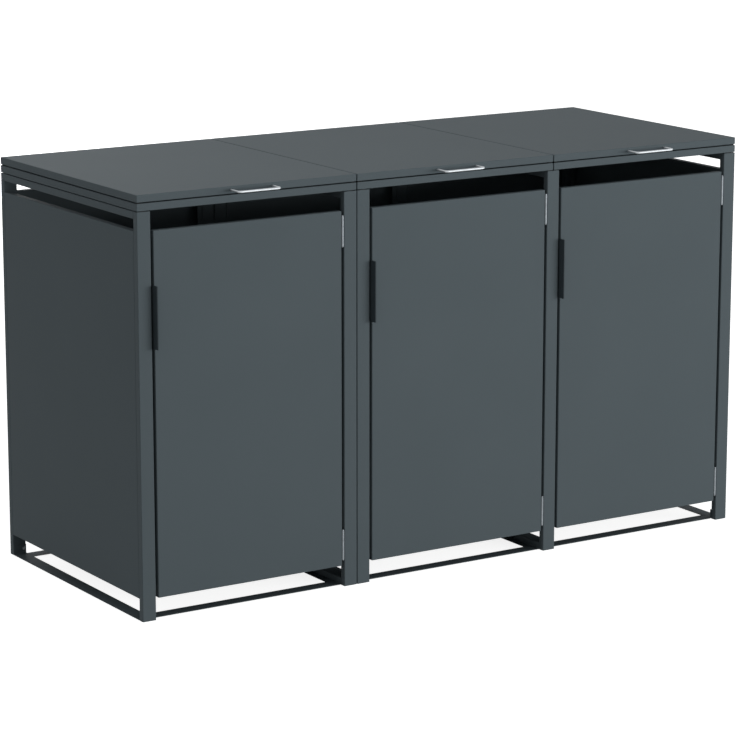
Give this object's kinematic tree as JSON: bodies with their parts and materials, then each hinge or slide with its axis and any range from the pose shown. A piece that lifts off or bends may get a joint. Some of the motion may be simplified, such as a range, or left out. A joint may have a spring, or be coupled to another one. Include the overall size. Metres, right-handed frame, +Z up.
{
  "type": "wheelie bin store",
  "caption": "Outdoor sheet-steel store that hides wheeled bins side by side, with a hinged front door and a hinged top lid for each bin and open slots for air.",
  "frame": {"origin": "on the floor, under the middle of the whole store, its lid handles and rear hinges included", "axes": "+X to the right along the front, +Y from the doors to the rear, +Z up"},
  "size_m": [1.981, 0.8536, 1.15],
  "materials": {
    "powder_coat": "fine-texture anthracite powder coat, satin",
    "zinc_hinge": "zinc plated",
    "black_pull": "black powder coat, matt",
    "polished_rod": "polished",
    "insert_plastic": "moulded, matt",
    "bumper_rubber": "matt"
  },
  "bodies": {
    "store": {"post_front_1": "powder_coat", "post_rear_1": "powder_coat", "top_rail_1": "powder_coat", "post_front_2": "powder_coat", "post_rear_2": "powder_coat", "top_rail_2": "powder_coat", "post_front_3": "powder_coat", "post_rear_3": "powder_coat", "top_rail_3": "powder_coat", "post_front_4": "powder_coat", "post_rear_4": "powder_coat", "top_rail_4": "powder_coat", "post_front_5": "powder_coat", "post_rear_5": "powder_coat", "top_rail_5": "powder_coat", "floor_strip_left": "powder_coat", "floor_strip_middle": "powder_coat", "floor_strip_right": "powder_coat", "floor_sill_1": "powder_coat", "floor_sill_2": "powder_coat", "floor_strip_front_1": "powder_coat", "floor_strip_rear_1": "powder_coat", "floor_strip_front_2": "powder_coat", "floor_strip_rear_2": "powder_coat", "floor_strip_front_3": "powder_coat", "floor_strip_rear_3": "powder_coat", "side_panel_left": "powder_coat", "side_panel_right": "powder_coat", "rear_panel_1": "powder_coat", "rear_panel_2": "powder_coat", "rear_panel_3": "powder_coat", "lid_frame_1": "powder_coat", "lid_frame_2": "powder_coat", "lid_frame_3": "powder_coat", "post_feet": "insert_plastic", "post_caps": "insert_plastic", "spacers": "insert_plastic", "lid_bumpers": "bumper_rubber", "door_catches": "powder_coat", "door_hinges_fixed": "zinc_hinge", "lid_hinges_fixed": "zinc_hinge"},
    "left_door": {"door_1": "powder_coat", "door_pull_1": "black_pull", "door_hinge_1": "zinc_hinge"},
    "left_lid": {"lid_1": "powder_coat", "lid_handle_1": "polished_rod", "lid_hinge_1": "zinc_hinge"},
    "middle_door": {"door_2": "powder_coat", "door_pull_2": "black_pull", "door_hinge_2": "zinc_hinge"},
    "middle_lid": {"lid_2": "powder_coat", "lid_handle_2": "polished_rod", "lid_hinge_2": "zinc_hinge"},
    "right_door": {"door_3": "powder_coat", "door_pull_3": "black_pull", "door_hinge_3": "zinc_hinge"},
    "right_lid": {"lid_3": "powder_coat", "lid_handle_3": "polished_rod", "lid_hinge_3": "zinc_hinge"}
  },
  "joints": [
    {"name": "left_door_swing", "type": "hinge", "parent": "store", "child": "left_door", "pos_m": [-0.3615, -0.37875, 0.557], "axis": [0, 0, 1], "range_deg": [0, 110]},
    {"name": "middle_door_swing", "type": "hinge", "parent": "store", "child": "middle_door", "pos_m": [0.3135, -0.37875, 0.557], "axis": [0, 0, 1], "range_deg": [0, 110]},
    {"name": "right_door_swing", "type": "hinge", "parent": "store", "child": "right_door", "pos_m": [0.9465, -0.37875, 0.557], "axis": [0, 0, 1], "range_deg": [0, 110]},
    {"name": "left_lid_lift", "type": "hinge", "parent": "store", "child": "left_lid", "pos_m": [-0.65412, 0.42325, 1.1285], "axis": [-1, 0, 0], "range_deg": [0, 100]},
    {"name": "middle_lid_lift", "type": "hinge", "parent": "store", "child": "middle_lid", "pos_m": [0.0105, 0.42325, 1.1285], "axis": [-1, 0, 0], "range_deg": [0, 100]},
    {"name": "right_lid_lift", "type": "hinge", "parent": "store", "child": "right_lid", "pos_m": [0.66463, 0.42325, 1.1285], "axis": [-1, 0, 0], "range_deg": [0, 100]}
  ]
}
